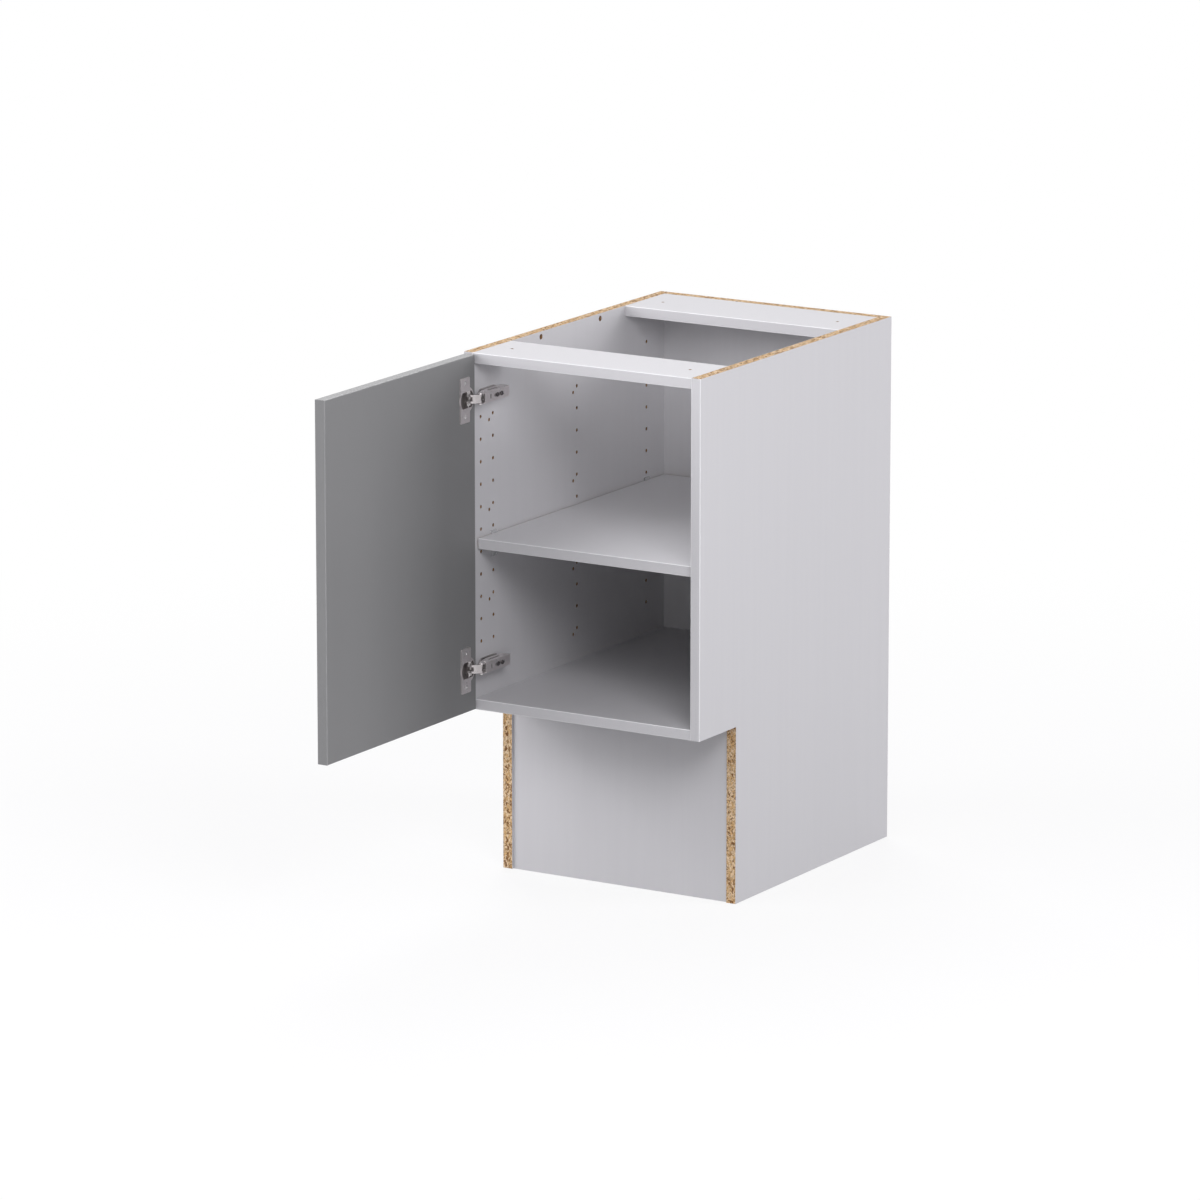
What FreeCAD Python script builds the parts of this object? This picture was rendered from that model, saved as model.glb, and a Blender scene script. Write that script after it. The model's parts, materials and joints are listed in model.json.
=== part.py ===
import FreeCAD, Part
import math
import os

# Kitchen base cabinet: a box of melamine faced chipboard on a recessed toe kick, with one shelf on
# locking clips and one slab door on two concealed cup hinges. The door stands open at a right angle.
# Millimetres. X runs to the right, Y to the wall, Z up. The origin is on the floor, in the middle
# of the back face.

# Carcass
width = 381.0
depth = 533.4
height = 762.0
board = 15.0
band = 1.0
toe_height = 254.0
toe_recess = 100.0
toe_board_setback = 3.0
front_rail_width = 100.0
rear_rail_width = 110.0
rail_screw_radius = 2.5
rail_screw_from_side = 32.0
rail_screw_from_edge = 52.0

# Drilling of the sides
hole_pitch = 32.0
hole_radius = 2.5
hole_depth = 11.0
first_column = 20.0
rear_column_margin = 40.0
row_margin = 50.0
runner_column = 42.0
runner_column_gap = 224.0
runner_drop = 8.0
runner_rows = (5, 1, -3, -6)

# Dowels
dowel_radius = 4.0
dowel_clearance = 0.05
dowel_in_side = 10.0
dowel_in_board = 20.0
dowel_end_room = 1.0
dowel_pitch = 160.0
rail_dowel_gap = 64.0
upright_dowel_inset = 60.0

# Shelf and clips
shelf_thickness = 15.0
shelf_setback = 10.0
shelf_back_gap = 4.0
shelf_clip_gap = 0.25
clip_row = -1
clip_width = 14.0
clip_plate = 1.6
clip_ledge_reach = 14.0
clip_ledge_thickness = 3.0
clip_ledge_above_pin = 6.0
clip_gusset_height = 15.0
clip_lip_reach = 3.6
clip_lip_height = 4.0
clip_lip_gap = 0.2
clip_pin_length = 8.0
clip_pin_clearance = 0.05

# Door
door_thickness = 16.0
door_reveal = 1.5
door_gap = 2.0
door_open_inset = 5.5
door_open_gap = 3.5

# Hinge cup, in the door: s from the hinge edge, d into the door from its inner face
cup_radius = 17.5
cup_edge = 4.0
cup_depth = 11.5
cup_wall = 0.9
cup_bore_clearance = 0.1
cup_bore_floor_gap = 0.4
rim_width = 1.1
rim_thickness = 0.5
flange_thickness = 1.5
flange_width = 24.0
flange_height = 64.0
flange_corner = 2.0
mouth_half_height = 11.5
flange_screw_spacing = 48.0
flange_screw_offset = 5.5
flange_screw_radius = 1.75
flange_screw_length = 9.0
flange_screw_head_radius = 3.5
flange_screw_head = 1.3
screw_fit = 0.1
screw_socket_radius = 1.3
screw_socket_share = 0.6

# Hinge linkage, in the plane of the links: u from the side's inner face, v from the carcass front
outer_cup_pivot = (9.0, 3.0)
inner_cup_pivot = (14.0, 2.5)
outer_arm_reach = 26.0
inner_arm_pivot_u = 17.5
outer_hook_points = ((3.6, -6.4), (0.3, -8.2))
inner_bend_points = ((4.0, -8.0), (10.5, -8.8))
pin_radius = 1.25
pin_clearance = 0.05
pin_wall_margin = 0.2
outer_link_half_height = 2.6
outer_link_half_width = 1.8
link_eye_radius = 2.5
link_gap = 0.4
inner_link_half_height = 6.0
inner_link_half_width = 1.9
inner_web_half_width = 0.6
inner_web_start = 0.35
inner_web_recess = 0.25

# Hinge arm and mounting plate
arm_web_under = 19.8
arm_sheet = 1.2
arm_half_height = 7.6
arm_foot = 6.5
arm_back = 62.0
arm_web_front = -1.0
arm_foot_front = 15.0
arm_nose_radius = 3.4
arm_heel_room = 5.5
web_slot_radius = 2.3
web_slot_overrun = 5.0
nose_slot_radius = 1.0
nose_slot_height = 6.5
nose_slot_place = 14.0
cheek_slot_radius = 1.5
cheek_slot_height = 13.5
cheek_slot_front = 18.0
cheek_slot_back = 46.0
rivet_head_radius = 2.0
rivet_head = 0.6
plate_thickness = 2.2
plate_half_height = 8.0
plate_block_half_height = 6.0
plate_block_margin = 5.0
plate_screw_head_radius = 4.0
plate_screw_head = 2.2
plate_screw_length = 10.0
plate_screw_clearance = 0.1
adjusting_screw_inset = 4.0
adjusting_screw_radius = 2.0
adjusting_screw_depth = 9.0
adjusting_screw_head_radius = 3.2
adjusting_screw_head = 1.4

# Places worked out from the driving dimensions
front = -depth
inner_right = width / 2 - board
inner_left = -inner_right
back_face = -board
bottom_top = toe_height + board
top_under = height - board
toe_face = front + toe_recess + toe_board_setback
row_middle = (height + toe_height) / 2
rows_each_way = int(((height - toe_height) / 2 - row_margin) // hole_pitch)
rear_columns = int((depth - board - rear_column_margin - first_column) // hole_pitch)
middle_columns = rear_columns // 2 + 1
columns = [first_column + hole_pitch * n for n in (0, 1, middle_columns, rear_columns)]
hinge_rows = [row_middle + hole_pitch * rows_each_way, row_middle - hole_pitch * rows_each_way]
shelf_under = row_middle + hole_pitch * clip_row + clip_ledge_above_pin
shelf_top = shelf_under + shelf_thickness
door_width = width - 2 * door_reveal
door_bottom = toe_height + door_reveal
door_top = height - door_reveal
door_overlay = board - door_reveal
cup_middle = cup_edge + cup_radius


# Solids

def box(low, high):
    size = [b - a for a, b in zip(low, high)]
    return Part.makeBox(size[0], size[1], size[2], FreeCAD.Vector(*low))


def rod(radius, start, end):
    start = FreeCAD.Vector(*start)
    along = FreeCAD.Vector(*end) - start
    return Part.makeCylinder(radius, along.Length, start, along)


def cone(start_radius, end_radius, start, end):
    start = FreeCAD.Vector(*start)
    along = FreeCAD.Vector(*end) - start
    return Part.makeCone(start_radius, end_radius, along.Length, start, along)


def prism(corners, along):
    points = [FreeCAD.Vector(*corner) for corner in corners]
    face = Part.Face(Part.makePolygon(points + points[:1]))
    return face.extrude(FreeCAD.Vector(*along))


def fused(shapes):
    return shapes[0].multiFuse(shapes[1:]).removeSplitter()


def cut(shape, tools):
    return shape.cut(Part.makeCompound(tools))


def save(name, shapes):
    solids = shapes if isinstance(shapes, list) else [shapes]
    shape = solids[0] if len(solids) == 1 else Part.makeCompound(solids)
    if not shape.isValid():
        raise ValueError(name + " is not a valid solid")
    shape.exportStep("parts/" + name + ".step")


# Carcass

def even_places(first, last, count):
    return [first + (last - first) * n / (count - 1) for n in range(count)]


top_dowel_height = height - board / 2
bottom_dowel_height = toe_height + board / 2
dowel_columns = [first_column + dowel_pitch * n for n in range(4)]
rear_rail_front = back_face - rear_rail_width
rear_dowel_column = -board - first_column
front_rail_dowels = [front + first_column, front + first_column + rail_dowel_gap]
rear_rail_dowels = [rear_dowel_column - rail_dowel_gap, rear_dowel_column]
bottom_dowels = even_places(front + first_column, rear_dowel_column, 4)
back_dowel_heights = even_places(upright_dowel_inset, height - upright_dowel_inset, 4)
toe_dowel_heights = even_places(upright_dowel_inset, toe_height - upright_dowel_inset, 2)
dowel_places = {
    "front_rail_dowels": [(y, top_dowel_height) for y in front_rail_dowels],
    "rear_rail_dowels": [(y, top_dowel_height) for y in rear_rail_dowels],
    "bottom_panel_dowels": [(y, bottom_dowel_height) for y in bottom_dowels],
    "back_panel_dowels": [(-board / 2, z) for z in back_dowel_heights],
    "toe_kick_dowels": [(toe_face + board / 2, z) for z in toe_dowel_heights],
}
spare_dowel_holes = [(front + y, top_dowel_height) for y in dowel_columns[1:3]]


def dowel_row(places, side, radius, room):
    inner = side * inner_right
    reach_out = inner + side * (dowel_in_side + room)
    reach_in = inner - side * (dowel_in_board + room)
    return [rod(radius, (reach_in, y, z), (reach_out, y, z)) for y, z in places]


def dowel_holes(name):
    places = dowel_places[name]
    return [hole for side in (-1, 1) for hole in dowel_row(places, side, dowel_radius, dowel_end_room)]


def dowels(name):
    radius = dowel_radius - dowel_clearance
    return [pin for side in (-1, 1) for pin in dowel_row(dowel_places[name], side, radius, 0)]


def side_holes(side):
    inner = side * inner_right
    holes = []
    for row in range(-rows_each_way, rows_each_way + 1):
        holes += [(front + y, row_middle + hole_pitch * row) for y in columns]
    for row in runner_rows:
        for y in (runner_column, runner_column + runner_column_gap):
            holes.append((front + y, row_middle + hole_pitch * row - runner_drop))
    drilled = [rod(hole_radius, (inner, y, z), (inner + side * hole_depth, y, z)) for y, z in holes]
    for places in dowel_places.values():
        drilled += dowel_row(places, side, dowel_radius, dowel_end_room)
    spare_end = inner + side * (dowel_in_side + dowel_end_room)
    drilled += [rod(dowel_radius, (inner, y, z), (spare_end, y, z)) for y, z in spare_dowel_holes]
    return drilled


def side_panel(side):
    x = min(side * inner_right, side * width / 2)
    outline = [
        (x, front + band, toe_height),
        (x, front + band, height),
        (x, 0, height),
        (x, 0, 0),
        (x, front + toe_recess, 0),
        (x, front + toe_recess, toe_height),
    ]
    return cut(prism(outline, (board, 0, 0)), side_holes(side))


def side_band(side):
    x = min(side * inner_right, side * width / 2)
    return box((x, front, toe_height), (x + board, front + band, height))


def between_sides(y_start, y_end, z_start, z_end):
    return box((inner_left, y_start, z_start), (inner_right, y_end, z_end))


def rail(edge, back, dowel_name):
    body = between_sides(edge + band, back, top_under, height)
    y = edge + rail_screw_from_edge
    x = inner_right - rail_screw_from_side
    screws = [rod(rail_screw_radius, (s * x, y, top_under), (s * x, y, height)) for s in (-1, 1)]
    return cut(body, screws + dowel_holes(dowel_name))


def build_carcass():
    save("left_side_panel", side_panel(-1))
    save("right_side_panel", side_panel(1))
    save("side_edge_bands", [side_band(-1), side_band(1)])
    bottom = between_sides(front + band, back_face, toe_height, bottom_top)
    save("bottom_panel", cut(bottom, dowel_holes("bottom_panel_dowels")))
    save("bottom_edge_band", between_sides(front, front + band, toe_height, bottom_top))
    back = between_sides(back_face, 0, 0, height)
    save("back_panel", cut(back, dowel_holes("back_panel_dowels")))
    save("front_top_rail", rail(front, front + front_rail_width, "front_rail_dowels"))
    save("front_rail_edge_band", between_sides(front, front + band, top_under, height))
    save("rear_top_rail", rail(rear_rail_front, back_face, "rear_rail_dowels"))
    rear_band_back = rear_rail_front + band
    save("rear_rail_edge_band", between_sides(rear_rail_front, rear_band_back, top_under, height))
    toe_board = between_sides(toe_face, toe_face + board, 0, toe_height)
    save("toe_kick_board", cut(toe_board, dowel_holes("toe_kick_dowels")))
    for name in dowel_places:
        save(name, dowels(name))


# Shelf and clips

def shelf_clip(side, y):
    # The profile lies in the XZ plane: plate on the side, ledge with its gusset, lip over the shelf.
    ledge_under = shelf_under - clip_ledge_thickness
    lip_under = shelf_top + clip_lip_gap
    profile = [
        (0, ledge_under - clip_gusset_height),
        (clip_plate, ledge_under - clip_gusset_height),
        (clip_ledge_reach, ledge_under),
        (clip_ledge_reach, shelf_under),
        (clip_plate, shelf_under),
        (clip_plate, lip_under),
        (clip_lip_reach, lip_under),
        (clip_plate, lip_under + clip_lip_height),
        (0, lip_under + clip_lip_height),
    ]
    inner = side * inner_right
    corners = [(inner - side * reach, y - clip_width / 2, z) for reach, z in profile]
    pin_height = shelf_under - clip_ledge_above_pin
    pin_start = (inner - side * clip_plate / 2, y, pin_height)
    pin_end = (inner + side * clip_pin_length, y, pin_height)
    pin = rod(hole_radius - clip_pin_clearance, pin_start, pin_end)
    return fused([prism(corners, (0, clip_width, 0)), pin])


def build_shelf():
    end = inner_right - clip_plate - shelf_clip_gap
    shelf_front = front + shelf_setback
    shelf_back = back_face - shelf_back_gap
    save("shelf", box((-end, shelf_front + band, shelf_under), (end, shelf_back, shelf_top)))
    save("shelf_edge_band", box((-end, shelf_front, shelf_under), (end, shelf_front + band, shelf_top)))
    for side, side_name in ((-1, "left"), (1, "right")):
        for column, place_name in ((columns[1], "front"), (columns[3], "rear")):
            save("shelf_clip_" + place_name + "_" + side_name, shelf_clip(side, front + column))


# Hinge linkage. The door is closed when u = s - overlay and v = -gap - d, and stands open at a right
# angle when u = inset - d and v = -open gap - s. Both positions share one pole of rotation.

def closed_place(pivot):
    return (pivot[0] - door_overlay, -door_gap - pivot[1])


def open_place(pivot):
    return (door_open_inset - pivot[1], -door_open_gap - pivot[0])


def turned(point, centre, angle):
    u = point[0] - centre[0]
    v = point[1] - centre[1]
    cosine = math.cos(angle)
    sine = math.sin(angle)
    return (centre[0] + cosine * u - sine * v, centre[1] + sine * u + cosine * v)


def link_swing(arm_pivot, cup_pivot):
    start = closed_place(cup_pivot)
    end = open_place(cup_pivot)
    before = math.atan2(start[1] - arm_pivot[1], start[0] - arm_pivot[0])
    after = math.atan2(end[1] - arm_pivot[1], end[0] - arm_pivot[0])
    return (after - before + math.pi) % (2 * math.pi) - math.pi


side_shift = door_open_inset + door_gap
edge_shift = door_overlay + door_open_gap
pole = ((side_shift - edge_shift) / 2, -(side_shift + edge_shift) / 2)

# The outer link's arm pivot lies on the half angle line from the pole, so both positions are exact.
outer_closed = closed_place(outer_cup_pivot)
outer_open = open_place(outer_cup_pivot)
half_turned = turned(outer_closed, pole, -math.pi / 4)
pole_distance = math.dist(outer_closed, pole)
arm_share = outer_arm_reach / pole_distance
outer_arm_pivot = tuple(p + (h - p) * arm_share for p, h in zip(pole, half_turned))
outer_swing = link_swing(outer_arm_pivot, outer_cup_pivot)

# The inner link's arm pivot is as far from its closed cup pivot as from its open one.
inner_closed = closed_place(inner_cup_pivot)
inner_open = open_place(inner_cup_pivot)
inner_middle = [(a + b) / 2 for a, b in zip(inner_closed, inner_open)]
inner_travel = [b - a for a, b in zip(inner_closed, inner_open)]
inner_slope = inner_travel[0] / inner_travel[1]
inner_arm_pivot = (inner_arm_pivot_u, inner_middle[1] - (inner_arm_pivot_u - inner_middle[0]) * inner_slope)
inner_swing = link_swing(inner_arm_pivot, inner_cup_pivot)


# Hinge solids, built round the height of the hinge's middle

def at_hinge(u, v, z):
    return (inner_left + u, front + v, z)


def on_door(s, d, z):
    return at_hinge(door_open_inset - d, -door_open_gap - s, z)


def upright_rod(radius, place, low, high):
    return rod(radius, at_hinge(place[0], place[1], low), at_hinge(place[0], place[1], high))


def upright_prism(outline, low, high):
    return prism([at_hinge(u, v, low) for u, v in outline], (0, 0, high - low))


def bent_bar(points, half_width, low, high):
    pieces = [upright_rod(half_width, point, low, high) for point in points]
    for start, end in zip(points, points[1:]):
        length = math.dist(start, end)
        u = (start[1] - end[1]) * half_width / length
        v = (end[0] - start[0]) * half_width / length
        corners = [
            (start[0] + u, start[1] + v),
            (end[0] + u, end[1] + v),
            (end[0] - u, end[1] - v),
            (start[0] - u, start[1] - v),
        ]
        pieces.append(upright_prism(corners, low, high))
    return pieces


def outer_link(middle):
    hook = [turned(point, outer_arm_pivot, outer_swing) for point in outer_hook_points]
    low = middle - outer_link_half_height
    high = middle + outer_link_half_height
    bar = bent_bar([outer_arm_pivot] + hook + [outer_open], outer_link_half_width, low, high)
    pivots = (outer_arm_pivot, outer_open)
    eyes = [upright_rod(link_eye_radius, place, low, high) for place in pivots]
    bores = [upright_rod(pin_radius + pin_clearance, place, low, high) for place in pivots]
    return cut(fused(bar + eyes), bores)


def inner_link(middle):
    # Two cheeks run either side of the outer link. A web joins them on the side away from it.
    bends = []
    for point in inner_bend_points:
        place = turned(point, inner_closed, inner_swing)
        bends.append((place[0] + inner_travel[0], place[1] + inner_travel[1]))
    run = [inner_open] + bends + [inner_arm_pivot]
    half_gap = outer_link_half_height + link_gap
    pieces = []
    bores = []
    for low, high in ((-inner_link_half_height, -half_gap), (half_gap, inner_link_half_height)):
        low += middle
        high += middle
        pieces += bent_bar(run, inner_link_half_width, low, high)
        pieces.append(upright_rod(link_eye_radius, inner_open, low, high))
        bores.append(upright_rod(pin_radius + pin_clearance, inner_open, low, high))
    start = [a + (b - a) * inner_web_start for a, b in zip(bends[0], bends[1])]
    along = math.atan2(inner_arm_pivot[1] - bends[0][1], inner_arm_pivot[0] - bends[0][0])
    shift = inner_link_half_width - inner_web_half_width - inner_web_recess
    aside = (shift * math.sin(along), -shift * math.cos(along))
    web_run = [(u + aside[0], v + aside[1]) for u, v in (start, bends[1], inner_arm_pivot)]
    low = middle - inner_link_half_height
    high = middle + inner_link_half_height
    pieces += bent_bar(web_run, inner_web_half_width, low, high)
    return cut(fused(pieces), bores)


def hinge_arm(middle):
    web_top = arm_web_under + arm_sheet
    cheek = [
        (arm_foot, arm_foot_front),
        (arm_foot, arm_back),
        (arm_web_under, arm_back),
        (arm_web_under, arm_web_front),
        (inner_arm_pivot[0] + arm_nose_radius, inner_arm_pivot[1]),
        (inner_arm_pivot[0] - arm_nose_radius, inner_arm_pivot[1]),
        (outer_arm_pivot[0] - arm_heel_room, outer_arm_pivot[1]),
    ]
    web_corner = at_hinge(arm_web_under, arm_web_front, middle - arm_half_height)
    pieces = [box(web_corner, at_hinge(web_top, arm_back, middle + arm_half_height))]
    for low in (middle - arm_half_height, middle + arm_half_height - arm_sheet):
        pieces.append(upright_prism(cheek, low, low + arm_sheet))
        pieces.append(upright_rod(arm_nose_radius, inner_arm_pivot, low, low + arm_sheet))
    low = middle - arm_half_height
    high = middle + arm_half_height
    pivots = (outer_arm_pivot, inner_arm_pivot)
    openings = [upright_rod(pin_radius + pin_clearance, place, low, high) for place in pivots]
    slot_front = adjusting_screw_places[0] - web_slot_overrun
    slot_back = adjusting_screw_places[1] + web_slot_overrun
    for v in (slot_front, slot_back):
        slot_start = at_hinge(arm_web_under, v, middle)
        openings.append(rod(web_slot_radius, slot_start, at_hinge(web_top, v, middle)))
    slot_low = at_hinge(arm_web_under, slot_front, middle - web_slot_radius)
    openings.append(box(slot_low, at_hinge(web_top, slot_back, middle + web_slot_radius)))
    nose_low = at_hinge(arm_web_under, nose_slot_place - nose_slot_radius, middle - nose_slot_height / 2)
    nose_high = at_hinge(web_top, nose_slot_place + nose_slot_radius, middle + nose_slot_height / 2)
    openings.append(box(nose_low, nose_high))
    cheek_run = [(cheek_slot_height, cheek_slot_front), (cheek_slot_height, cheek_slot_back)]
    openings += bent_bar(cheek_run, cheek_slot_radius, low, high)
    return cut(fused(pieces), openings)


def arm_pins(middle):
    outer = arm_half_height + rivet_head
    through = [upright_rod(pin_radius, outer_arm_pivot, middle - outer, middle + outer)]
    for low, high in ((-outer, -arm_half_height), (arm_half_height, outer)):
        through.append(upright_rod(rivet_head_radius, outer_arm_pivot, middle + low, middle + high))
    pins = [fused(through)]
    for side in (-1, 1):
        inside = middle + side * (arm_half_height - arm_sheet)
        face = middle + side * arm_half_height
        end = middle + side * outer
        shank = upright_rod(pin_radius, inner_arm_pivot, inside, face)
        head = upright_rod(rivet_head_radius, inner_arm_pivot, face, end)
        pins.append(fused([shank, head]))
    return pins


plate_screw_places = columns[0:2]
block_front = plate_screw_places[0] + plate_screw_head_radius + plate_block_margin / 2
block_back = plate_screw_places[1] - plate_screw_head_radius - plate_block_margin / 2
adjusting_screw_places = (block_front + adjusting_screw_inset, block_back - adjusting_screw_inset)


def mounting_plate(middle):
    pieces = []
    holes = []
    for v in plate_screw_places:
        foot = at_hinge(0, v, middle)
        face = at_hinge(plate_thickness, v, middle)
        pieces.append(rod(plate_half_height, foot, face))
        holes.append(rod(hole_radius, foot, face))
    first, last = plate_screw_places
    low = at_hinge(0, first, middle - plate_half_height)
    pieces.append(box(low, at_hinge(plate_thickness, last, middle + plate_half_height)))
    low = at_hinge(0, block_front, middle - plate_block_half_height)
    pieces.append(box(low, at_hinge(arm_web_under, block_back, middle + plate_block_half_height)))
    for v in adjusting_screw_places:
        bottom = arm_web_under - adjusting_screw_depth
        radius = adjusting_screw_radius + screw_fit
        holes.append(rod(radius, at_hinge(bottom, v, middle), at_hinge(arm_web_under, v, middle)))
    return cut(fused(pieces), holes)


def socketed(screw, seat, end):
    # A plain round socket in the head takes the driver.
    head_vector = FreeCAD.Vector(*end) - FreeCAD.Vector(*seat)
    socket_start = FreeCAD.Vector(*end) - head_vector * screw_socket_share
    return cut(screw, [rod(screw_socket_radius, tuple(socket_start), end)])


def headed_screw(tip, seat, end, shank_radius, head_radius):
    return socketed(fused([rod(shank_radius, tip, seat), rod(head_radius, seat, end)]), seat, end)


def plate_screws(middle):
    screws = []
    shank_radius = hole_radius - plate_screw_clearance
    for v in plate_screw_places:
        tip = at_hinge(-plate_screw_length, v, middle)
        seat = at_hinge(plate_thickness, v, middle)
        end = at_hinge(plate_thickness + plate_screw_head, v, middle)
        screws.append(headed_screw(tip, seat, end, shank_radius, plate_screw_head_radius))
    return screws


def adjusting_screws(middle):
    screws = []
    web_top = arm_web_under + arm_sheet
    for v in adjusting_screw_places:
        tip = at_hinge(arm_web_under - adjusting_screw_depth, v, middle)
        seat = at_hinge(web_top, v, middle)
        end = at_hinge(web_top + adjusting_screw_head, v, middle)
        screws.append(headed_screw(tip, seat, end, adjusting_screw_radius, adjusting_screw_head_radius))
    return screws


flange_screw_column = cup_middle + flange_screw_offset


def pin_half_length(pivot):
    # The pin's far edge ends just inside the outer face of the cup's wall.
    reach = cup_radius - pin_wall_margin
    return math.sqrt(reach ** 2 - (cup_middle - pivot[0] + pin_radius) ** 2)


def hinge_cup(middle):
    # The flange closes the top and the bottom of the round cup and leaves a mouth for the links.
    mouth = on_door(cup_middle, 0, middle)
    shell = rod(cup_radius, on_door(cup_middle, cup_depth, middle), mouth)
    rim = rod(cup_radius + rim_width, mouth, on_door(cup_middle, -rim_thickness, middle))
    edge_near = flange_screw_column - flange_width / 2
    edge_far = flange_screw_column + flange_width / 2
    half = flange_height / 2
    flange_low = on_door(edge_far, 0, middle - half)
    flange = box(flange_low, on_door(edge_near, -flange_thickness, middle + half))
    corner_edges = [e for e in flange.Edges if abs(e.tangentAt(e.FirstParameter).x) > 0.5]
    flange = flange.makeFillet(flange_corner, corner_edges)
    hollow_floor = on_door(cup_middle, cup_depth - cup_wall, middle)
    opening_end = on_door(cup_middle, -flange_thickness, middle)
    opening_low = on_door(cup_middle + cup_radius, 0, middle - mouth_half_height)
    opening_high = on_door(cup_middle - cup_radius, -flange_thickness, middle + mouth_half_height)
    opening = rod(cup_radius - cup_wall, mouth, opening_end).common(box(opening_low, opening_high))
    holes = [rod(cup_radius - cup_wall, hollow_floor, mouth), opening]
    radius = flange_screw_radius + screw_fit
    for side in (-1, 1):
        z = middle + side * flange_screw_spacing / 2
        seat = on_door(flange_screw_column, flange_screw_head - flange_thickness, z)
        face = on_door(flange_screw_column, -flange_thickness, z)
        holes.append(rod(radius, on_door(flange_screw_column, 0, z), seat))
        holes.append(cone(radius, flange_screw_head_radius + screw_fit, seat, face))
    radius = pin_radius + pin_clearance
    for s, d in (outer_cup_pivot, inner_cup_pivot):
        half = pin_half_length((s, d))
        holes.append(rod(radius, on_door(s, d, middle - half), on_door(s, d, middle + half)))
    return cut(fused([shell, rim, flange]), holes)


def cup_pins(middle):
    # The outer link turns on a full pin, the inner link's two cheeks on a stub each.
    s, d = outer_cup_pivot
    half = pin_half_length(outer_cup_pivot)
    pins = [rod(pin_radius, on_door(s, d, middle - half), on_door(s, d, middle + half))]
    s, d = inner_cup_pivot
    start = outer_link_half_height + link_gap
    end = pin_half_length(inner_cup_pivot)
    for side in (-1, 1):
        inside = on_door(s, d, middle + side * start)
        pins.append(rod(pin_radius, inside, on_door(s, d, middle + side * end)))
    return pins


def cup_screws(middle):
    screws = []
    for side in (-1, 1):
        z = middle + side * flange_screw_spacing / 2
        tip = on_door(flange_screw_column, flange_screw_length, z)
        seat = on_door(flange_screw_column, flange_screw_head - flange_thickness, z)
        face = on_door(flange_screw_column, -flange_thickness, z)
        shank = rod(flange_screw_radius, tip, seat)
        head = cone(flange_screw_radius, flange_screw_head_radius, seat, face)
        screws.append(socketed(fused([shank, head]), seat, face))
    return screws


def build_hinges():
    for name, middle in zip(("upper_hinge", "lower_hinge"), hinge_rows):
        save(name + "_mounting_plate", mounting_plate(middle))
        save(name + "_plate_screws", plate_screws(middle))
        save(name + "_arm", hinge_arm(middle))
        save(name + "_arm_pins", arm_pins(middle))
        save(name + "_adjusting_screws", adjusting_screws(middle))
        save(name + "_outer_link", outer_link(middle))
        save(name + "_inner_link", inner_link(middle))
        save(name + "_cup", hinge_cup(middle))
        save(name + "_cup_pins", cup_pins(middle))
        save(name + "_cup_screws", cup_screws(middle))


# Door

def door_box(s_start, s_end, z_start, z_end):
    return box(on_door(s_end, door_thickness, z_start), on_door(s_start, 0, z_end))


def build_door():
    core = door_box(band, door_width - band, door_bottom + band, door_top - band)
    bores = []
    for middle in hinge_rows:
        radius = cup_radius + cup_bore_clearance
        floor = cup_depth + cup_bore_floor_gap
        bores.append(rod(radius, on_door(cup_middle, floor, middle), on_door(cup_middle, 0, middle)))
        for side in (-1, 1):
            z = middle + side * flange_screw_spacing / 2
            radius = flange_screw_radius + screw_fit
            tip = on_door(flange_screw_column, flange_screw_length, z)
            bores.append(rod(radius, tip, on_door(flange_screw_column, 0, z)))
    save("door_panel", cut(core, bores))
    bands = [
        door_box(0, band, door_bottom, door_top),
        door_box(door_width - band, door_width, door_bottom, door_top),
        door_box(band, door_width - band, door_bottom, door_bottom + band),
        door_box(band, door_width - band, door_top - band, door_top),
    ]
    save("door_edge_bands", bands)


def report_linkage():
    outer_ratio = outer_swing / (math.pi / 2)
    inner_ratio = inner_swing / (math.pi / 2)
    print("outer link pivot on the arm", at_hinge(outer_arm_pivot[0], outer_arm_pivot[1], 0))
    print("outer link pivot in the cup", at_hinge(outer_open[0], outer_open[1], 0))
    print("inner link pivot on the arm", at_hinge(inner_arm_pivot[0], inner_arm_pivot[1], 0))
    print("inner link pivot in the cup", at_hinge(inner_open[0], inner_open[1], 0))
    print("turn of the outer link, of the inner link, per turn of the door", outer_ratio, inner_ratio)


os.makedirs("parts", exist_ok=True)
build_carcass()
build_shelf()
build_hinges()
build_door()
report_linkage()
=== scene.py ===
"""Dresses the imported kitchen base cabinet: boards, edge bands, door, hinges, clips and a studio."""

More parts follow.
